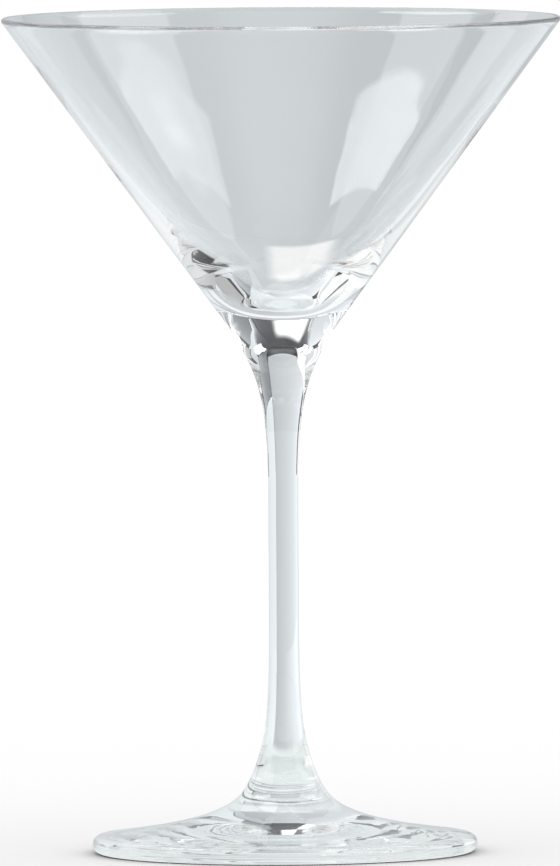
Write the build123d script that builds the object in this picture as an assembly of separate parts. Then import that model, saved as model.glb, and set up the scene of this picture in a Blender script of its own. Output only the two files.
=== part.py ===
"""Martini glass in three fused pieces of clear glass: a conical bowl, a drawn stem and a pressed foot.

Units are millimetres. The origin is the centre of the foot on the table, and +Z runs up the axis.
Every piece is turned about +Z from half of its section, drawn as (radius, height) points.
"""
from build123d import *
from math import asin, atan2, cos, hypot, sin, tan
import os

# Overall size
GLASS_HEIGHT = 173.5
RIM_RADIUS = 58.0
FOOT_RADIUS = 40.0
STEM_RADIUS = 3.1

# Bowl: a straight cone whose wall thickens down to a rounded floor
LIP_THICKNESS = 1.2
WALL_BEND_HEIGHT = 132.0  # where the inside's directions at the lip and at the shoulder would meet
SHOULDER_RADIUS = 17.5  # inside, where the wall turns into the floor
SHOULDER_HEIGHT = 124.0
SHOULDER_REACH = 12.0  # how far the wall's direction is held below the shoulder
BOWL_FLOOR_HEIGHT = 114.0  # lowest point inside the bowl
BOWL_FLOOR_REACH = 6.0  # how flat the inside is at its lowest point

# Corner where the cone's outside would meet the flare under it, rounded over its blend each way
CORNER_RADIUS = 9.65
CORNER_HEIGHT = 107.2
CORNER_BLEND = 1.8  # height of the rounding above the corner, and below it

# Flare under the bowl, from the bowl seam down to the plain stem
UPPER_FLARE_LEAN = 0.49  # radius lost per millimetre of height at the seam
UPPER_FLARE_REACH = 6.0
UPPER_FLARE_END = 75.8
UPPER_FLARE_END_REACH = 19.2

# Seam between the bowl and the stem
BOWL_SEAM_RADIUS = CORNER_RADIUS - UPPER_FLARE_LEAN * CORNER_BLEND
BOWL_SEAM_HEIGHT = CORNER_HEIGHT - CORNER_BLEND

# Flare above the foot, from the plain stem down to the foot seam
LOWER_FLARE_START = 50.0
LOWER_FLARE_START_REACH = 13.0
FOOT_SEAM_RADIUS = 4.7
FOOT_SEAM_HEIGHT = 22.5
FOOT_SEAM_LEAN = 0.26  # radius gained per millimetre of height lost at the seam
LOWER_FLARE_REACH = 5.2

# Foot: a drawn-up neck on a thin disc with a rounded edge and a hollow underside
NECK_REACH = 6.0
KNEE_RADIUS = 10.5
KNEE_HEIGHT = 10.8
KNEE_FALL = 0.72  # height lost per millimetre of radius at the knee
KNEE_INNER_REACH = 2.4
KNEE_OUTER_REACH = 5.0
EDGE_THICKNESS = 3.7
EDGE_FALL = 0.13
EDGE_REACH = 14.0
EDGE_ROUND = EDGE_THICKNESS / 2
CONTACT_RING_INNER_RADIUS = 33.0
UNDERSIDE_HOLLOW = 1.0


def turned(outline):
    """Turn a closed half section about the +Z axis."""
    section = Plane.XZ * make_face(outline)
    return revolve(section, axis=Axis.Z, revolution_arc=360)


def tangent_angle(point, circle_centre, circle_radius):
    """Angle from vertical of the line from a point up to a circle that it touches on its outer side."""
    run = circle_centre[0] - point[0]
    rise = circle_centre[1] - point[1]
    return atan2(run, rise) + asin(circle_radius / hypot(run, rise))


def make_bowl():
    """The cup: straight outside, rounded lip, and an inside that curves away as the wall thickens."""
    lip_radius = LIP_THICKNESS / 2
    lip = (RIM_RADIUS - lip_radius, GLASS_HEIGHT - lip_radius)
    corner = (CORNER_RADIUS, CORNER_HEIGHT)
    shoulder = (SHOULDER_RADIUS, SHOULDER_HEIGHT)
    outside_angle = tangent_angle(corner, lip, lip_radius)

    lip_outside = (lip[0] + lip_radius * cos(outside_angle), lip[1] - lip_radius * sin(outside_angle))
    lip_top = (lip[0], GLASS_HEIGHT)
    lip_inside = (lip[0] - lip_radius * cos(outside_angle), lip[1] + lip_radius * sin(outside_angle))
    wall_bend = (lip_inside[0] - (lip_inside[1] - WALL_BEND_HEIGHT) * tan(outside_angle), WALL_BEND_HEIGHT)
    inside_angle = atan2(wall_bend[0] - SHOULDER_RADIUS, wall_bend[1] - SHOULDER_HEIGHT)
    cone_end = (CORNER_RADIUS + CORNER_BLEND * tan(outside_angle), CORNER_HEIGHT + CORNER_BLEND)
    shoulder_handle = (
        SHOULDER_RADIUS - SHOULDER_REACH * sin(inside_angle),
        SHOULDER_HEIGHT - SHOULDER_REACH * cos(inside_angle),
    )
    floor = (0, BOWL_FLOOR_HEIGHT)
    floor_handle = (BOWL_FLOOR_REACH, BOWL_FLOOR_HEIGHT)
    seam_centre = (0, BOWL_SEAM_HEIGHT)
    seam_edge = (BOWL_SEAM_RADIUS, BOWL_SEAM_HEIGHT)

    return turned(
        [
            Line(seam_centre, seam_edge),
            Bezier(seam_edge, corner, cone_end),
            Line(cone_end, lip_outside),
            ThreePointArc(lip_outside, lip_top, lip_inside),
            Bezier(lip_inside, wall_bend, shoulder),
            Bezier(shoulder, shoulder_handle, floor_handle, floor),
            Line(floor, seam_centre),
        ]
    )


def make_stem():
    """The drawn rod, flared at the top to carry the bowl and at the bottom to meet the foot."""
    top_centre = (0, BOWL_SEAM_HEIGHT)
    top_edge = (BOWL_SEAM_RADIUS, BOWL_SEAM_HEIGHT)
    top_edge_handle = (
        BOWL_SEAM_RADIUS - UPPER_FLARE_LEAN * UPPER_FLARE_REACH,
        BOWL_SEAM_HEIGHT - UPPER_FLARE_REACH,
    )
    rod_top_handle = (STEM_RADIUS, UPPER_FLARE_END + UPPER_FLARE_END_REACH)
    rod_top = (STEM_RADIUS, UPPER_FLARE_END)
    rod_bottom = (STEM_RADIUS, LOWER_FLARE_START)
    rod_bottom_handle = (STEM_RADIUS, LOWER_FLARE_START - LOWER_FLARE_START_REACH)
    bottom_edge_handle = (
        FOOT_SEAM_RADIUS - FOOT_SEAM_LEAN * LOWER_FLARE_REACH,
        FOOT_SEAM_HEIGHT + LOWER_FLARE_REACH,
    )
    bottom_edge = (FOOT_SEAM_RADIUS, FOOT_SEAM_HEIGHT)
    bottom_centre = (0, FOOT_SEAM_HEIGHT)

    return turned(
        [
            Line(top_centre, top_edge),
            Bezier(top_edge, top_edge_handle, rod_top_handle, rod_top),
            Line(rod_top, rod_bottom),
            Bezier(rod_bottom, rod_bottom_handle, bottom_edge_handle, bottom_edge),
            Line(bottom_edge, bottom_centre),
            Line(bottom_centre, top_centre),
        ]
    )


def make_foot():
    """The disc: drawn-up neck, gently falling top, rounded edge, flat contact ring, hollow underside."""
    seam_centre = (0, FOOT_SEAM_HEIGHT)
    seam_edge = (FOOT_SEAM_RADIUS, FOOT_SEAM_HEIGHT)
    neck_handle = (FOOT_SEAM_RADIUS + FOOT_SEAM_LEAN * NECK_REACH, FOOT_SEAM_HEIGHT - NECK_REACH)
    knee = (KNEE_RADIUS, KNEE_HEIGHT)
    knee_inner = (KNEE_RADIUS - KNEE_INNER_REACH, KNEE_HEIGHT + KNEE_FALL * KNEE_INNER_REACH)
    knee_outer = (KNEE_RADIUS + KNEE_OUTER_REACH, KNEE_HEIGHT - KNEE_FALL * KNEE_OUTER_REACH)
    edge_top = (FOOT_RADIUS - EDGE_ROUND, EDGE_THICKNESS)
    edge_handle = (edge_top[0] - EDGE_REACH, EDGE_THICKNESS + EDGE_FALL * EDGE_REACH)
    edge_outside = (FOOT_RADIUS, EDGE_ROUND)
    edge_bottom = (FOOT_RADIUS - EDGE_ROUND, 0)
    ring_inside = (CONTACT_RING_INNER_RADIUS, 0)
    hollow_handle = (CONTACT_RING_INNER_RADIUS / 2, UNDERSIDE_HOLLOW)
    hollow_centre = (0, UNDERSIDE_HOLLOW)

    return turned(
        [
            Bezier(seam_edge, neck_handle, knee_inner, knee),
            Bezier(knee, knee_outer, edge_handle, edge_top),
            ThreePointArc(edge_top, edge_outside, edge_bottom),
            Line(edge_bottom, ring_inside),
            Bezier(ring_inside, hollow_handle, hollow_centre),
            Line(hollow_centre, seam_centre),
            Line(seam_centre, seam_edge),
        ]
    )


def main():
    os.makedirs("parts", exist_ok=True)
    pieces = {
        "bowl": make_bowl(),
        "stem": make_stem(),
        "foot": make_foot(),
    }
    for name, piece in pieces.items():
        piece.label = name
        export_step(piece, f"parts/{name}.step")


main()
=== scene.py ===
import math

import bpy
from mathutils import Matrix, Vector


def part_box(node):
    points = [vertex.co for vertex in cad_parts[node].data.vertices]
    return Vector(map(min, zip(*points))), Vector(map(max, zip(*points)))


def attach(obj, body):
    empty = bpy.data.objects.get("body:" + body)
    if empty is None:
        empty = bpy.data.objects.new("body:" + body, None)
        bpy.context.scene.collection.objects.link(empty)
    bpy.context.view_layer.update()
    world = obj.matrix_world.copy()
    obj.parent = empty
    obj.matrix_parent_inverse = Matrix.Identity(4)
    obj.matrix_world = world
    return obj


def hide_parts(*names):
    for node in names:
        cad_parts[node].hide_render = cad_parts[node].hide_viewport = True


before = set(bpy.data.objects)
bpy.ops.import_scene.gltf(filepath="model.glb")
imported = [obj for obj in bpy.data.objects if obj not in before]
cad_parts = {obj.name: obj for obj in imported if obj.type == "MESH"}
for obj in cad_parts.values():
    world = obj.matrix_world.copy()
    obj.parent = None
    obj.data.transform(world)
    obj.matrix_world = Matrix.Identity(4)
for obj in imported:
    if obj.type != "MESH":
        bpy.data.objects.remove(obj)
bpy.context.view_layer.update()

MM = 0.001

# Driving sizes read from the frame, in metres
BOWL_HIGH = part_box("bowl")[1]
FOOT_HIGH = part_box("foot")[1]
GLASS_HEIGHT = BOWL_HIGH[2]
RIM_RADIUS = BOWL_HIGH[0]
FOOT_SEAM_HEIGHT = FOOT_HIGH[2]
FOOT_RADIUS = FOOT_HIGH[0]

# Driving sizes of the design: lengths in metres, leans and falls as length over length
LIP_THICKNESS = 1.2 * MM
WALL_BEND_HEIGHT = 132.0 * MM
SHOULDER_RADIUS = 17.5 * MM
SHOULDER_HEIGHT = 124.0 * MM
SHOULDER_REACH = 12.0 * MM
BOWL_FLOOR_HEIGHT = 114.0 * MM
BOWL_FLOOR_REACH = 6.0 * MM
CORNER_RADIUS = 9.65 * MM
CORNER_HEIGHT = 107.2 * MM
CORNER_BLEND = 1.8 * MM
UPPER_FLARE_LEAN = 0.49
UPPER_FLARE_REACH = 6.0 * MM
UPPER_FLARE_END = 75.8 * MM
UPPER_FLARE_END_REACH = 19.2 * MM
BOWL_SEAM_RADIUS = CORNER_RADIUS - UPPER_FLARE_LEAN * CORNER_BLEND
BOWL_SEAM_HEIGHT = CORNER_HEIGHT - CORNER_BLEND
STEM_RADIUS = 3.1 * MM
LOWER_FLARE_START = 50.0 * MM
LOWER_FLARE_START_REACH = 13.0 * MM
FOOT_SEAM_RADIUS = 4.7 * MM
FOOT_SEAM_LEAN = 0.26
LOWER_FLARE_REACH = 5.2 * MM
NECK_REACH = 6.0 * MM
KNEE_RADIUS = 10.5 * MM
KNEE_HEIGHT = 10.8 * MM
KNEE_FALL = 0.72
KNEE_INNER_REACH = 2.4 * MM
KNEE_OUTER_REACH = 5.0 * MM
EDGE_THICKNESS = 3.7 * MM
EDGE_FALL = 0.13
EDGE_REACH = 14.0 * MM
EDGE_ROUND = EDGE_THICKNESS / 2
CONTACT_RING_INNER_RADIUS = 33.0 * MM
UNDERSIDE_HOLLOW = 1.0 * MM

# Slow waves that hand finishing leaves in glass. Each is how many go round the piece, the wave length along
# its section, the depth and the shift in radians.
BOWL_WAVES = [
    (2, 31 * MM, 0.009 * MM, 0.4),
    (5, 17 * MM, 0.0035 * MM, 2.1),
    (9, 11 * MM, 0.0012 * MM, 4.0),
]
STEM_WAVES = [(1, 19 * MM, 0.010 * MM, 1.0), (3, 9 * MM, 0.003 * MM, 3.0)]
FOOT_WAVES = [
    (1, 2.3 * MM, 0.003 * MM, 0.0),
    (2, 5.2 * MM, 0.005 * MM, 1.3),
    (5, 11 * MM, 0.006 * MM, 2.6),
]

# How far the waves take to grow from nothing at the lip, the bowl's seam, and the foot's seam and edge
LIP_CALM = 12 * MM
BOWL_SEAM_CALM = 9 * MM
FOOT_CALM = 5 * MM

# Fine surface detail of the glass: size of each pattern, height of its relief, least and most roughness
RIPPLE_SIZE = 7 * MM
RIPPLE_HEIGHT = 0.006 * MM
DRAWN_LINE_SIZE = 1.3 * MM
DRAWN_LINE_STRETCH = 0.03  # the lines' frequency along the axis over that round it
DRAWN_LINE_HEIGHT = 0.0004 * MM
POLISH_SIZE = 14 * MM
POLISH_ROUGHNESS = (0.0, 0.012)
GLASS_IOR = 1.5
CLEAR_TINT = (0.985, 0.995, 0.99)
FOOT_TINT = (0.972, 0.99, 0.978)

# Camera: distance, target and clipping in metres, elevation and roll in degrees
IMAGE_WIDTH, IMAGE_HEIGHT = 560, 866
CAMERA_DISTANCE = 5.0
CAMERA_ELEVATION = 3.05
CAMERA_ROLL = 0.3
CAMERA_TARGET = (-0.0006, 0, 0.0871)
CAMERA_CLIP_START = 0.1
CAMERA_CLIP_END = 200
VIEW_WIDTH = 0.1162  # what the picture's width spans at the target
VIEW_HEIGHT = VIEW_WIDTH * IMAGE_HEIGHT / IMAGE_WIDTH

# Floor, dome, and what the glass sees in their place: a dark room, and a sheet of paper that glows with
# painted light, whose tone goes by bearing in degrees. Behind the glass, from 0 to 19.5, it continues the
# backdrop's tone, and at 20 the backdrop ends. Under the foot the paper glows brighter, a painted pool of
# light, and beyond its far end it is painted dark.
FLOOR_SIDES = 64
FLOOR_RADIUS = 60.0
FLOOR_LEVEL = -0.0001  # just clear of the waves under the foot
FLOOR_COLOUR = (0.97, 0.97, 0.97)
DOME_LIGHT = 1.035
ROOM_COLOUR = (0.045, 0.045, 0.05)
COOL = (0.955, 1.0, 1.035)
NEUTRAL = (1.0, 1.0, 1.0)
PAPER_BEARINGS = [
    (-179, 0.75), (-140, 0.9), (-110, 0.75), (-70, 0.8), (-45, 1.1), (-20, 0.86), (0, 0.647),
    (19.5, 0.54), (20.5, 0.95), (60, 0.8), (110, 0.65), (140, 0.65), (179, 0.75),
]
# A painted pool of light: the paper glows brighter under the foot, fading out between these two radii.
UNDER_FOOT_PAINTED_LIGHT = (0.9, 0.9, 0.88)
UNDER_FOOT_PAINTED_LIGHT_EDGE = (0.05, 0.062)
# Painted shade: beyond its far end the paper glows only faintly, as a dark unlit floor.
PAPER_BEYOND_PAINTED_DARK = (0.08, 0.08, 0.08)
PAPER_END = (2.2, 2.6)

# Cards round the glass, in metres: across is left to right, depth is away from the camera. Each light is
# the brightness at its left and at its right, and each edge is how much of it fades out, along and across.
CRISP_EDGE = (0.01, 0.01)
SOFT_EDGE = (0.04, 0.04)
BROAD_EDGE = (0.3, 0.3)
BACK_LINE = 0.5
BACKDROP_SPAN = (-0.6, 0.182)
BACKDROP_HEIGHTS = (0, 0.43)
BACKDROP_LIGHT = (1.0, 0.54)
BACK_LEFT_LINE = 0.49
BACK_LEFT_SPAN = (-0.9, -0.165)
BACK_LEFT_HEIGHTS = (0.42, 0.705)
BACK_LEFT_LIGHT = (1.2, 1.2)
BACK_RIGHT_SPAN = (0.182, 0.9)
BACK_RIGHT_HEIGHTS = (0, 0.21)
BACK_RIGHT_LIGHT = (0.9, 0.78)
HIGH_RIGHT_SPAN = (0.182, 0.6)
HIGH_RIGHT_HEIGHTS = (0.21, 0.65)
HIGH_RIGHT_LIGHT = (0.25, 0.5)
SIDE_LINE = 1.8
LEFT_DEPTH = (-0.5, 1.0)
LEFT_HEIGHTS = (0.48, 3.1)
LEFT_LIGHT = (1.1, 1.1)
LEFT_LOW_HEIGHTS = (0, 0.48)
LEFT_LOW_LIGHT = (1.1, 1.1)
RIGHT_DEPTH = (-0.6, 1.2)
RIGHT_HEIGHTS = (0.88, 3.3)
RIGHT_LIGHT = (1.1, 1.1)
RIGHT_LOW_DEPTH = (-0.2, 1.0)
RIGHT_LOW_HEIGHTS = (0.12, 0.88)
RIGHT_LOW_LIGHT = (0.5, 0.5)
FRONT_LINE = 2.2
FRONT_WALL_SPAN = (-2.2, 2.2)
FRONT_WALL_HEIGHTS = (0, 0.9)
FRONT_WALL_LIGHT = (0.85, 1.0)
FRONT_LEFT_DEPTH = (-2.2, -0.5)
FRONT_LEFT_HEIGHTS = (0, 3.1)
FRONT_LEFT_LIGHT = (1.05, 1.05)
FRONT_RIGHT_DEPTH = (-2.2, -0.6)
FRONT_RIGHT_HEIGHTS = (0, 1.7)
FRONT_RIGHT_LIGHT = (0.75, 0.75)
OVERHEAD_SPAN = (-0.27, 0.1)
OVERHEAD_DEPTH = (0.13, 0.52)
OVERHEAD_HEIGHT = 0.705
OVERHEAD_LIGHT = (2.2, 2.2)
OVERHEAD_EDGE = (0.25, 0.25)
FRONT_TOP_SPAN = (-0.6, 0.6)
FRONT_TOP_DEPTH = (-0.9, -0.15)
FRONT_TOP_HEIGHT = 1.2
FRONT_TOP_LIGHT = (0.9, 0.9)
GLOW_SPAN = (-0.0065, 0.0185)
GLOW_DEPTH = (0.02, 0.095)
GLOW_HEIGHT = 0.1
GLOW_LIGHT = (1.0, 1.0)
GLOW_EDGE = (0.2, 0.12)

# Strip lights that give the long highlights down both sides of the bowl. Each run is a start and an end,
# worked out from where those highlights reflect to at this height.
STRIP_HEIGHT = 0.69
STRIP_WIDTH = 0.125
STRIP_EDGE = (0.04, 0.12)
STRIP_LEFT_RUN = ((-0.3, -0.129), (-0.619, 0.259))
STRIP_RIGHT_RUN = ((0.318, -0.117), (0.617, 0.337))
STRIP_LEFT_LIGHT = (5.2, 5.2)
STRIP_RIGHT_LIGHT = (3.0, 3.0)

# Steps along each run of a half section
SEAM_STEPS = 8
CORNER_STEPS = 24
CONE_STEPS = 64
LIP_STEPS = 24
WALL_STEPS = 64
BOWL_FLOOR_STEPS = 64
UPPER_FLARE_STEPS = 96
ROD_STEPS = 24
LOWER_FLARE_STEPS = 64
NECK_STEPS = 48
FOOT_TOP_STEPS = 64
FOOT_EDGE_STEPS = 32
RING_STEPS = 8
HOLLOW_STEPS = 48

TURNS = 256  # quads around a turned piece
GLASS_BOUNCES = 128  # light runs far round inside the bowl wall before it leaves
TRANSPARENT_BOUNCES = 32
DIFFUSE_BOUNCES = 2
GLASS, SEAM = 0, 1  # material slots of a turned piece
TINY = 1e-7  # lengths below this count as nothing


# ---------------------------------------------------------------- sections

def straight(start, end, count):
    """Points on a straight run, without its start."""
    return [
        (start[0] + (end[0] - start[0]) * i / count, start[1] + (end[1] - start[1]) * i / count)
        for i in range(1, count + 1)
    ]


def bezier(controls, count):
    """Points on a Bezier curve of any degree, without its start."""
    degree = len(controls) - 1
    points = []
    for i in range(1, count + 1):
        t = i / count
        weights = [math.comb(degree, k) * (1 - t) ** (degree - k) * t**k for k in range(degree + 1)]
        points.append(tuple(sum(w * c[axis] for w, c in zip(weights, controls)) for axis in (0, 1)))
    return points


def arc(centre, radius, start, end, count):
    """Points on an arc between two angles, without its start."""
    angles = [start + (end - start) * i / count for i in range(1, count + 1)]
    return [(centre[0] + radius * math.cos(a), centre[1] + radius * math.sin(a)) for a in angles]


def tangent_angle(point, circle_centre, circle_radius):
    """Angle from vertical of the line from a point up to a circle that it touches on its outer side."""
    run = circle_centre[0] - point[0]
    rise = circle_centre[1] - point[1]
    return math.atan2(run, rise) + math.asin(circle_radius / math.hypot(run, rise))


def bowl_section():
    """Half section of the bowl: seam, straight outside, lip, inside wall, thick rounded floor."""
    lip_radius = LIP_THICKNESS / 2
    lip = (RIM_RADIUS - lip_radius, GLASS_HEIGHT - lip_radius)
    corner = (CORNER_RADIUS, CORNER_HEIGHT)
    shoulder = (SHOULDER_RADIUS, SHOULDER_HEIGHT)
    outside_angle = tangent_angle(corner, lip, lip_radius)
    lip_across, lip_up = lip_radius * math.cos(outside_angle), lip_radius * math.sin(outside_angle)
    lip_outside = (lip[0] + lip_across, lip[1] - lip_up)
    lip_inside = (lip[0] - lip_across, lip[1] + lip_up)
    wall_bend = (
        lip_inside[0] - (lip_inside[1] - WALL_BEND_HEIGHT) * math.tan(outside_angle),
        WALL_BEND_HEIGHT,
    )
    inside_angle = math.atan2(wall_bend[0] - SHOULDER_RADIUS, wall_bend[1] - SHOULDER_HEIGHT)
    cone_end = (CORNER_RADIUS + CORNER_BLEND * math.tan(outside_angle), CORNER_HEIGHT + CORNER_BLEND)
    shoulder_handle = (
        SHOULDER_RADIUS - SHOULDER_REACH * math.sin(inside_angle),
        SHOULDER_HEIGHT - SHOULDER_REACH * math.cos(inside_angle),
    )
    floor = (0, BOWL_FLOOR_HEIGHT)
    floor_handle = (BOWL_FLOOR_REACH, BOWL_FLOOR_HEIGHT)
    seam_centre = (0, BOWL_SEAM_HEIGHT)
    seam_edge = (BOWL_SEAM_RADIUS, BOWL_SEAM_HEIGHT)
    return (
        [seam_centre]
        + straight(seam_centre, seam_edge, SEAM_STEPS)
        + bezier([seam_edge, corner, cone_end], CORNER_STEPS)
        + straight(cone_end, lip_outside, CONE_STEPS)
        + arc(lip, lip_radius, -outside_angle, math.pi - outside_angle, LIP_STEPS)
        + bezier([lip_inside, wall_bend, shoulder], WALL_STEPS)
        + bezier([shoulder, shoulder_handle, floor_handle, floor], BOWL_FLOOR_STEPS)
    )


def stem_section():
    """Half section of the stem: seam, upper flare, rod, lower flare, seam."""
    top_centre = (0, BOWL_SEAM_HEIGHT)
    top_edge = (BOWL_SEAM_RADIUS, BOWL_SEAM_HEIGHT)
    top_edge_handle = (
        BOWL_SEAM_RADIUS - UPPER_FLARE_LEAN * UPPER_FLARE_REACH,
        BOWL_SEAM_HEIGHT - UPPER_FLARE_REACH,
    )
    rod_top_handle = (STEM_RADIUS, UPPER_FLARE_END + UPPER_FLARE_END_REACH)
    rod_top = (STEM_RADIUS, UPPER_FLARE_END)
    rod_bottom = (STEM_RADIUS, LOWER_FLARE_START)
    rod_bottom_handle = (STEM_RADIUS, LOWER_FLARE_START - LOWER_FLARE_START_REACH)
    bottom_edge_handle = (
        FOOT_SEAM_RADIUS - FOOT_SEAM_LEAN * LOWER_FLARE_REACH,
        FOOT_SEAM_HEIGHT + LOWER_FLARE_REACH,
    )
    bottom_edge = (FOOT_SEAM_RADIUS, FOOT_SEAM_HEIGHT)
    bottom_centre = (0, FOOT_SEAM_HEIGHT)
    section = (
        [top_centre]
        + straight(top_centre, top_edge, SEAM_STEPS)
        + bezier([top_edge, top_edge_handle, rod_top_handle, rod_top], UPPER_FLARE_STEPS)
        + straight(rod_top, rod_bottom, ROD_STEPS)
        + bezier([rod_bottom, rod_bottom_handle, bottom_edge_handle, bottom_edge], LOWER_FLARE_STEPS)
        + straight(bottom_edge, bottom_centre, SEAM_STEPS)
    )
    return section[::-1]


def foot_section():
    """Half section of the foot: hollow underside, contact ring, rounded edge, top, neck, seam."""
    seam_centre = (0, FOOT_SEAM_HEIGHT)
    seam_edge = (FOOT_SEAM_RADIUS, FOOT_SEAM_HEIGHT)
    neck_handle = (FOOT_SEAM_RADIUS + FOOT_SEAM_LEAN * NECK_REACH, FOOT_SEAM_HEIGHT - NECK_REACH)
    knee = (KNEE_RADIUS, KNEE_HEIGHT)
    knee_inner = (KNEE_RADIUS - KNEE_INNER_REACH, KNEE_HEIGHT + KNEE_FALL * KNEE_INNER_REACH)
    knee_outer = (KNEE_RADIUS + KNEE_OUTER_REACH, KNEE_HEIGHT - KNEE_FALL * KNEE_OUTER_REACH)
    edge_top = (FOOT_RADIUS - EDGE_ROUND, EDGE_THICKNESS)
    edge_handle = (edge_top[0] - EDGE_REACH, EDGE_THICKNESS + EDGE_FALL * EDGE_REACH)
    edge_centre = (edge_top[0], EDGE_ROUND)
    edge_bottom = (edge_top[0], 0)
    ring_inside = (CONTACT_RING_INNER_RADIUS, 0)
    hollow_handle = (CONTACT_RING_INNER_RADIUS / 2, UNDERSIDE_HOLLOW)
    hollow_centre = (0, UNDERSIDE_HOLLOW)
    section = (
        [seam_centre]
        + straight(seam_centre, seam_edge, SEAM_STEPS)
        + bezier([seam_edge, neck_handle, knee_inner, knee], NECK_STEPS)
        + bezier([knee, knee_outer, edge_handle, edge_top], FOOT_TOP_STEPS)
        + arc(edge_centre, EDGE_ROUND, math.pi / 2, -math.pi / 2, FOOT_EDGE_STEPS)
        + straight(edge_bottom, ring_inside, RING_STEPS)
        + bezier([ring_inside, hollow_handle, hollow_centre], HOLLOW_STEPS)
    )
    return section[::-1]


# ---------------------------------------------------------------- pieces

def smooth_step(value):
    """0 below 0, 1 above 1, and a smooth climb between."""
    value = min(max(value, 0), 1)
    return value * value * (3 - 2 * value)


def calmness(radius, height, stills):
    """0 near the still places and 1 away from them. Each has a radius, a height, a reach and a fade."""
    return min(
        smooth_step((math.hypot(radius - still_radius, height - still_height) - reach) / fade)
        for still_radius, still_height, reach, fade in stills
    )


def waved(section, waves, stills):
    """Rings of points round the axis, moved in and out of the surface by slow waves."""
    rings, travel = [], 0.0
    for i, (radius, height) in enumerate(section):
        before, after = section[max(i - 1, 0)], section[min(i + 1, len(section) - 1)]
        span = math.hypot(after[0] - before[0], after[1] - before[1])
        out, up = (after[1] - before[1]) / span, (before[0] - after[0]) / span
        travel += math.hypot(radius - before[0], height - before[1])
        if radius < TINY:
            rings.append([(0, 0, height)])
            continue
        calm = calmness(radius, height, stills)
        ring = []
        for j in range(TURNS):
            angle = 2 * math.pi * j / TURNS
            lift = calm * sum(
                depth * math.sin(around * angle + 2 * math.pi * travel / length + shift)
                for around, length, depth, shift in waves
            )
            reach = radius + out * lift
            ring.append((reach * math.cos(angle), reach * math.sin(angle), height + up * lift))
        rings.append(ring)
    return rings


def on_seams(section):
    """For each step of a half section, whether it runs across one of the fused seams."""
    return [
        abs(z0 - z1) < TINY and min(abs(z0 - BOWL_SEAM_HEIGHT), abs(z0 - FOOT_SEAM_HEIGHT)) < TINY
        for (_, z0), (_, z1) in zip(section, section[1:])
    ]


def turned(name, rings, seams, materials):
    """Join rings of points, listed from the bottom up the outside, into a closed smooth mesh."""
    vertices, numbers = [], []
    for ring in rings:
        numbers.append(range(len(vertices), len(vertices) + len(ring)))
        vertices.extend(ring)
    faces, slots = [], []
    for lower, upper, seam in zip(numbers, numbers[1:], seams):
        for i in range(TURNS):
            j = (i + 1) % TURNS
            corners = [lower[i % len(lower)], lower[j % len(lower)]]
            corners += [upper[j % len(upper)], upper[i % len(upper)]]
            faces.append(list(dict.fromkeys(corners)))
            slots.append(SEAM if seam else GLASS)
    mesh = bpy.data.meshes.new(name)
    mesh.from_pydata(vertices, [], faces)
    mesh.polygons.foreach_set("material_index", slots)
    mesh.validate()
    mesh.shade_smooth()
    edge_slots = {}
    for polygon in mesh.polygons:
        for key in polygon.edge_keys:
            edge_slots.setdefault(key, set()).add(polygon.material_index)
    for edge in mesh.edges:
        edge.use_edge_sharp = len(edge_slots[edge.key]) > 1
    for material in materials:
        mesh.materials.append(material)
    piece = bpy.data.objects.new(name, mesh)
    bpy.context.scene.collection.objects.link(piece)
    return piece


def noise(nodes, links, point, size):
    """A soft pattern of a size, from 0 to 1."""
    pattern = nodes.new("ShaderNodeTexNoise")
    pattern.inputs["Scale"].default_value = 1 / size
    pattern.inputs["Detail"].default_value = 1
    links.new(point, pattern.inputs["Vector"])
    return pattern.outputs["Fac"]


def relief(nodes, links, height, depth, below=None):
    """Surface directions of a relief of a depth, laid over another relief."""
    bump = nodes.new("ShaderNodeBump")
    bump.inputs["Strength"].default_value = 1
    bump.inputs["Distance"].default_value = depth
    links.new(height, bump.inputs["Height"])
    if below:
        links.new(below, bump.inputs["Normal"])
    return bump.outputs["Normal"]


def glass_material(name, tint):
    """Clear fire-polished glass: faint ripples, fainter lines drawn along the axis, and uneven polish."""
    material = bpy.data.materials.new(name)
    material.use_nodes = True
    nodes, links = material.node_tree.nodes, material.node_tree.links
    shader = nodes["Principled BSDF"]
    shader.inputs["Base Color"].default_value = (*tint, 1)
    shader.inputs["IOR"].default_value = GLASS_IOR
    shader.inputs["Transmission Weight"].default_value = 1
    point = nodes.new("ShaderNodeTexCoord").outputs["Object"]
    stretch = nodes.new("ShaderNodeMapping")
    stretch.inputs["Scale"].default_value = (1, 1, DRAWN_LINE_STRETCH)
    links.new(point, stretch.inputs["Vector"])
    ripples = relief(nodes, links, noise(nodes, links, point, RIPPLE_SIZE), RIPPLE_HEIGHT)
    lines = noise(nodes, links, stretch.outputs["Vector"], DRAWN_LINE_SIZE)
    links.new(relief(nodes, links, lines, DRAWN_LINE_HEIGHT, ripples), shader.inputs["Normal"])
    polish = nodes.new("ShaderNodeMapRange")
    polish.inputs["To Min"].default_value, polish.inputs["To Max"].default_value = POLISH_ROUGHNESS
    links.new(noise(nodes, links, point, POLISH_SIZE), polish.inputs["Value"])
    links.new(polish.outputs["Result"], shader.inputs["Roughness"])
    return material


def seam_material():
    """The fused seams: no surface is left there, so nothing shows."""
    material = bpy.data.materials.new("fused_seam")
    material.use_nodes = True
    shader = material.node_tree.nodes["Principled BSDF"]
    shader.inputs["Alpha"].default_value = 0
    return material


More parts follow.
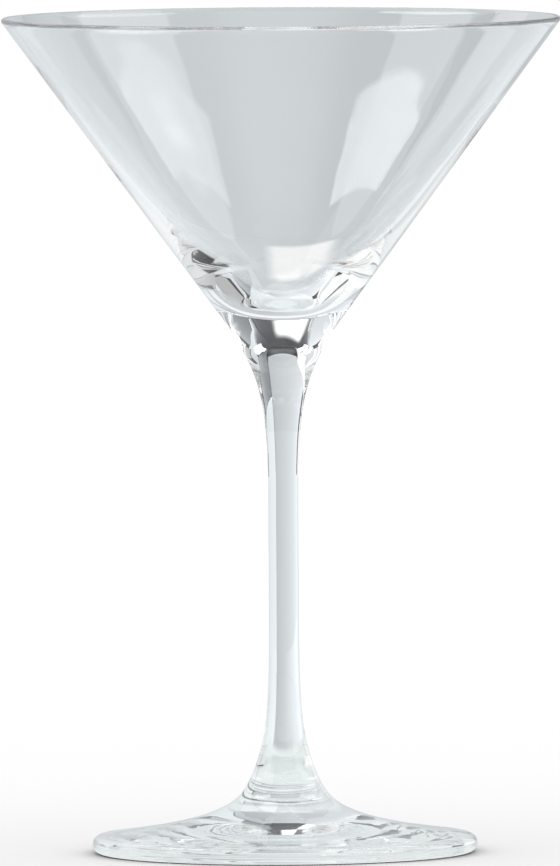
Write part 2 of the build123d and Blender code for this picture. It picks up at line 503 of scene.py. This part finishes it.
def make_glass():
    """The bowl, stem and foot, each closed, riding the root and replacing its CAD node."""
    seam = seam_material()
    lip = (RIM_RADIUS - LIP_THICKNESS / 2, GLASS_HEIGHT - LIP_THICKNESS / 2)
    bowl_seam = (BOWL_SEAM_RADIUS, BOWL_SEAM_HEIGHT)
    foot_seam = (FOOT_SEAM_RADIUS, FOOT_SEAM_HEIGHT)
    foot_edge = (FOOT_RADIUS, EDGE_ROUND)
    bowl_stills = [(*lip, LIP_THICKNESS, LIP_CALM), (*bowl_seam, 0, BOWL_SEAM_CALM)]
    stem_stills = [(*bowl_seam, 0, BOWL_SEAM_CALM), (*foot_seam, 0, FOOT_CALM)]
    foot_stills = [(*foot_seam, 0, FOOT_CALM), (*foot_edge, EDGE_ROUND, FOOT_CALM)]
    parts = {
        "bowl": (bowl_section(), BOWL_WAVES, bowl_stills, CLEAR_TINT),
        "stem": (stem_section(), STEM_WAVES, stem_stills, CLEAR_TINT),
        "foot": (foot_section(), FOOT_WAVES, foot_stills, FOOT_TINT),
    }
    for node, (section, waves, stills, tint) in parts.items():
        rings = waved(section, waves, stills)
        materials = [glass_material(f"{node}_glass", tint), seam]
        piece = turned(f"{node}_glass", rings, on_seams(section), materials)
        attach(piece, "root")
        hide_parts(node)


# ---------------------------------------------------------------- studio

def emission_material(name, light, colour, softness, one_sided):
    """Light that changes from the card's left to its right and fades out at its edges."""
    material = bpy.data.materials.new(name)
    material.use_nodes = True
    nodes, links = material.node_tree.nodes, material.node_tree.links
    nodes.clear()
    output = nodes.new("ShaderNodeOutputMaterial")
    emission = nodes.new("ShaderNodeEmission")
    emission.inputs["Color"].default_value = (*colour, 1)
    clear = nodes.new("ShaderNodeBsdfTransparent")
    fade = nodes.new("ShaderNodeMixShader")
    split = nodes.new("ShaderNodeSeparateXYZ")
    links.new(nodes.new("ShaderNodeTexCoord").outputs["Generated"], split.inputs[0])
    ramp = nodes.new("ShaderNodeMapRange")
    ramp.inputs["To Min"].default_value, ramp.inputs["To Max"].default_value = light
    links.new(split.outputs["X"], ramp.inputs["Value"])
    links.new(ramp.outputs["Result"], emission.inputs["Strength"])
    both = nodes.new("ShaderNodeMath")
    both.operation = "MULTIPLY"
    for axis, width in enumerate(softness):
        inset = nodes.new("ShaderNodeMath")
        inset.operation = "PINGPONG"
        inset.inputs[1].default_value = 0.5  # share of the card from its nearer edge, at most one half
        edge = nodes.new("ShaderNodeMapRange")
        edge.interpolation_type = "SMOOTHSTEP"
        edge.inputs["From Max"].default_value = width
        links.new(split.outputs[axis], inset.inputs[0])
        links.new(inset.outputs[0], edge.inputs["Value"])
        links.new(edge.outputs["Result"], both.inputs[axis])
    shown = both.outputs[0]
    if one_sided:
        front = nodes.new("ShaderNodeMath")
        front.operation = "SUBTRACT"
        front.use_clamp = True
        links.new(shown, front.inputs[0])
        links.new(nodes.new("ShaderNodeNewGeometry").outputs["Backfacing"], front.inputs[1])
        shown = front.outputs[0]
    links.new(shown, fade.inputs["Fac"])
    links.new(clear.outputs[0], fade.inputs[1])
    links.new(emission.outputs[0], fade.inputs[2])
    links.new(fade.outputs[0], output.inputs["Surface"])
    material.cycles.emission_sampling = "NONE"
    return material


def card(name, matrix, width, height, light, softness, colour=NEUTRAL, one_sided=False):
    """A flat card that only the glass sees. It faces its own +Z, and its light runs along its own +X."""
    corners = [(-width / 2, -height / 2, 0), (width / 2, -height / 2, 0),
               (width / 2, height / 2, 0), (-width / 2, height / 2, 0)]
    mesh = bpy.data.meshes.new(name)
    mesh.from_pydata(corners, [], [(0, 1, 2, 3)])
    mesh.materials.append(emission_material(name, light, colour, softness, one_sided))
    obj = bpy.data.objects.new(name, mesh)
    bpy.context.scene.collection.objects.link(obj)
    obj.matrix_world = matrix
    obj.visible_camera = False
    obj.visible_diffuse = False
    obj.visible_shadow = False


def upright_card(name, depth, across, heights, light, colour=COOL):
    """A card standing at a depth, square to the camera."""
    centre = (sum(across) / 2, depth, sum(heights) / 2)
    turn = Matrix.Rotation(math.radians(90), 4, "X")
    size = (across[1] - across[0], heights[1] - heights[0])
    card(name, Matrix.Translation(centre) @ turn, *size, light, CRISP_EDGE, colour)


def side_card(name, across, depths, heights, light):
    """A card standing to one side."""
    centre = (across, sum(depths) / 2, sum(heights) / 2)
    inward = Vector((-across, 0, 0)).to_track_quat("Z", "Y").to_matrix().to_4x4()
    size = (depths[1] - depths[0], heights[1] - heights[0])
    card(name, Matrix.Translation(centre) @ inward, *size, light, SOFT_EDGE)


def level_card(name, across, depths, height, light, softness, one_sided=False):
    """A card lying level at a height."""
    centre = (sum(across) / 2, sum(depths) / 2, height)
    size = (across[1] - across[0], depths[1] - depths[0])
    card(name, Matrix.Translation(centre), *size, light, softness, one_sided=one_sided)


def strip(name, run, light):
    """A narrow strip light lying level along a line between two points."""
    start, end = (Vector(point) for point in run)
    along = end - start
    centre = (*(start + end) / 2, STRIP_HEIGHT)
    turn = Matrix.Rotation(math.atan2(along.y, along.x), 4, "Z")
    card(name, Matrix.Translation(centre) @ turn, along.length, STRIP_WIDTH, light, STRIP_EDGE)


def bearing_ramp(nodes, links, point, stops):
    """Tone by bearing round the glass: 0 degrees is straight behind, and 180 either way is the camera."""
    split = nodes.new("ShaderNodeSeparateXYZ")
    bearing = nodes.new("ShaderNodeMath")
    bearing.operation = "ARCTAN2"
    turns = nodes.new("ShaderNodeMapRange")
    turns.inputs["From Min"].default_value = -math.pi
    turns.inputs["From Max"].default_value = math.pi
    ramp = nodes.new("ShaderNodeValToRGB")
    elements = ramp.color_ramp.elements
    while len(elements) < len(stops):
        elements.new(0.5)  # each is moved to its own place below
    for element, (degrees, tone) in zip(elements, stops):
        element.position = degrees / 360 + 0.5
        element.color = (tone, tone, tone, 1)
    links.new(point, split.inputs[0])
    links.new(split.outputs["X"], bearing.inputs[0])
    links.new(split.outputs["Y"], bearing.inputs[1])
    links.new(bearing.outputs[0], turns.inputs["Value"])
    links.new(turns.outputs["Result"], ramp.inputs["Fac"])
    return ramp.outputs["Color"]


def direct_view(nodes, links):
    """1 for what the camera sees directly and for light between matt surfaces, 0 through or off glass."""
    path = nodes.new("ShaderNodeLightPath")
    either = nodes.new("ShaderNodeMath")
    either.operation = "MAXIMUM"
    links.new(path.outputs["Is Camera Ray"], either.inputs[0])
    links.new(path.outputs["Is Diffuse Ray"], either.inputs[1])
    return either.outputs[0]


def make_floor():
    """The floor is near white to the camera. The glass sees a sheet of paper that glows with painted light,
    brighter under the foot, and ends in painted dark.
    """
    corners = [(FLOOR_RADIUS * math.cos(a), FLOOR_RADIUS * math.sin(a), FLOOR_LEVEL)
               for a in (2 * math.pi * i / FLOOR_SIDES for i in range(FLOOR_SIDES))]
    mesh = bpy.data.meshes.new("floor")
    mesh.from_pydata(corners, [], [tuple(range(FLOOR_SIDES))])
    floor = bpy.data.objects.new("floor", mesh)
    bpy.context.scene.collection.objects.link(floor)
    material = bpy.data.materials.new("pale_floor")
    material.use_nodes = True
    nodes, links = material.node_tree.nodes, material.node_tree.links
    output = nodes["Material Output"]
    shader = nodes["Principled BSDF"]
    shader.inputs["Base Color"].default_value = (*FLOOR_COLOUR, 1)
    shader.inputs["Roughness"].default_value = 1
    shader.inputs["Specular IOR Level"].default_value = 0
    coordinates = nodes.new("ShaderNodeTexCoord")
    tone = bearing_ramp(nodes, links, coordinates.outputs["Object"], PAPER_BEARINGS)
    distance = nodes.new("ShaderNodeVectorMath")
    distance.operation = "LENGTH"
    links.new(coordinates.outputs["Object"], distance.inputs[0])
    # The paper's painted pool of light under the foot, then its painted dark beyond the far end.
    for (near, far), inside, outside in (
        (UNDER_FOOT_PAINTED_LIGHT_EDGE, UNDER_FOOT_PAINTED_LIGHT, None),
        (PAPER_END, None, PAPER_BEYOND_PAINTED_DARK),
    ):
        step = nodes.new("ShaderNodeMapRange")
        step.interpolation_type = "SMOOTHSTEP"
        step.inputs["From Min"].default_value = near
        step.inputs["From Max"].default_value = far
        ring = nodes.new("ShaderNodeMix")
        ring.data_type = "RGBA"
        for side, colour in (("A", inside), ("B", outside)):
            if colour:
                ring.inputs[side].default_value = (*colour, 1)
            else:
                links.new(tone, ring.inputs[side])
        links.new(distance.outputs["Value"], step.inputs["Value"])
        links.new(step.outputs["Result"], ring.inputs["Factor"])
        tone = ring.outputs["Result"]
    paper = nodes.new("ShaderNodeEmission")
    tint = nodes.new("ShaderNodeMix")
    tint.data_type = "RGBA"
    tint.blend_type = "MULTIPLY"
    tint.inputs["Factor"].default_value = 1
    tint.inputs["B"].default_value = (*COOL, 1)
    links.new(tone, tint.inputs["A"])
    links.new(tint.outputs["Result"], paper.inputs["Color"])
    seen = nodes.new("ShaderNodeMixShader")
    links.new(direct_view(nodes, links), seen.inputs["Fac"])
    links.new(paper.outputs[0], seen.inputs[1])
    links.new(shader.outputs[0], seen.inputs[2])
    links.new(seen.outputs[0], output.inputs["Surface"])
    material.cycles.emission_sampling = "NONE"
    mesh.materials.append(material)


def make_world():
    """An even white dome for the floor and the camera. The glass sees a dark room with the cards in it."""
    world = bpy.data.worlds.new("studio")
    bpy.context.scene.world = world
    world.use_nodes = True
    nodes, links = world.node_tree.nodes, world.node_tree.links
    nodes.clear()
    output = nodes.new("ShaderNodeOutputWorld")
    dome = nodes.new("ShaderNodeBackground")
    dome.inputs["Color"].default_value = (1, 1, 1, 1)
    dome.inputs["Strength"].default_value = DOME_LIGHT
    room = nodes.new("ShaderNodeBackground")
    room.inputs["Color"].default_value = (*ROOM_COLOUR, 1)
    mix = nodes.new("ShaderNodeMixShader")
    links.new(direct_view(nodes, links), mix.inputs["Fac"])
    links.new(room.outputs[0], mix.inputs[1])
    links.new(dome.outputs[0], mix.inputs[2])
    links.new(mix.outputs[0], output.inputs["Surface"])
    world.cycles.sampling_method = "NONE"


def make_cards():
    """The cards and strips that the glass reflects and refracts."""
    upright_card("backdrop", BACK_LINE, BACKDROP_SPAN, BACKDROP_HEIGHTS, BACKDROP_LIGHT)
    upright_card(
        "back_left", BACK_LEFT_LINE, BACK_LEFT_SPAN, BACK_LEFT_HEIGHTS, BACK_LEFT_LIGHT, colour=NEUTRAL
    )
    upright_card("back_right", BACK_LINE, BACK_RIGHT_SPAN, BACK_RIGHT_HEIGHTS, BACK_RIGHT_LIGHT)
    upright_card("high_right", BACK_LINE, HIGH_RIGHT_SPAN, HIGH_RIGHT_HEIGHTS, HIGH_RIGHT_LIGHT)
    upright_card(
        "front_wall", -FRONT_LINE, FRONT_WALL_SPAN, FRONT_WALL_HEIGHTS, FRONT_WALL_LIGHT, colour=NEUTRAL
    )
    side_card("left", -SIDE_LINE, LEFT_DEPTH, LEFT_HEIGHTS, LEFT_LIGHT)
    side_card("left_low", -SIDE_LINE, LEFT_DEPTH, LEFT_LOW_HEIGHTS, LEFT_LOW_LIGHT)
    side_card("right", SIDE_LINE, RIGHT_DEPTH, RIGHT_HEIGHTS, RIGHT_LIGHT)
    side_card("right_low", SIDE_LINE, RIGHT_LOW_DEPTH, RIGHT_LOW_HEIGHTS, RIGHT_LOW_LIGHT)
    side_card("front_left", -FRONT_LINE, FRONT_LEFT_DEPTH, FRONT_LEFT_HEIGHTS, FRONT_LEFT_LIGHT)
    side_card("front_right", FRONT_LINE, FRONT_RIGHT_DEPTH, FRONT_RIGHT_HEIGHTS, FRONT_RIGHT_LIGHT)
    level_card("overhead", OVERHEAD_SPAN, OVERHEAD_DEPTH, OVERHEAD_HEIGHT, OVERHEAD_LIGHT, OVERHEAD_EDGE)
    level_card("front_top", FRONT_TOP_SPAN, FRONT_TOP_DEPTH, FRONT_TOP_HEIGHT, FRONT_TOP_LIGHT, BROAD_EDGE)
    level_card("glow", GLOW_SPAN, GLOW_DEPTH, GLOW_HEIGHT, GLOW_LIGHT, GLOW_EDGE, one_sided=True)
    strip("left_strip", STRIP_LEFT_RUN, STRIP_LEFT_LIGHT)
    strip("right_strip", STRIP_RIGHT_RUN, STRIP_RIGHT_LIGHT)


def make_camera():
    """A camera in front of the glass and a little above it."""
    scene = bpy.context.scene
    data = bpy.data.cameras.new("camera")
    camera = bpy.data.objects.new("camera", data)
    scene.collection.objects.link(camera)
    scene.camera = camera
    elevation = math.radians(CAMERA_ELEVATION)
    away = Vector((0, -math.cos(elevation), math.sin(elevation)))
    place = Matrix.Translation(Vector(CAMERA_TARGET) + away * CAMERA_DISTANCE)
    turn = away.to_track_quat("Z", "Y").to_matrix().to_4x4()
    camera.matrix_world = place @ turn @ Matrix.Rotation(-math.radians(CAMERA_ROLL), 4, "Z")
    data.lens = data.sensor_width * CAMERA_DISTANCE / VIEW_HEIGHT
    data.clip_start = CAMERA_CLIP_START
    data.clip_end = CAMERA_CLIP_END


def set_look():
    """Plain tones, and enough bounces for light inside thick glass."""
    scene = bpy.context.scene
    scene.view_settings.view_transform = "Standard"
    scene.cycles.max_bounces = GLASS_BOUNCES
    scene.cycles.transmission_bounces = GLASS_BOUNCES
    scene.cycles.glossy_bounces = GLASS_BOUNCES
    scene.cycles.transparent_max_bounces = TRANSPARENT_BOUNCES
    scene.cycles.diffuse_bounces = DIFFUSE_BOUNCES
    scene.cycles.caustics_reflective = False
    scene.cycles.caustics_refractive = False
    scene.cycles.blur_glossy = 0
    scene.cycles.use_denoising = True


make_glass()
make_floor()
make_world()
make_cards()
make_camera()
set_look()
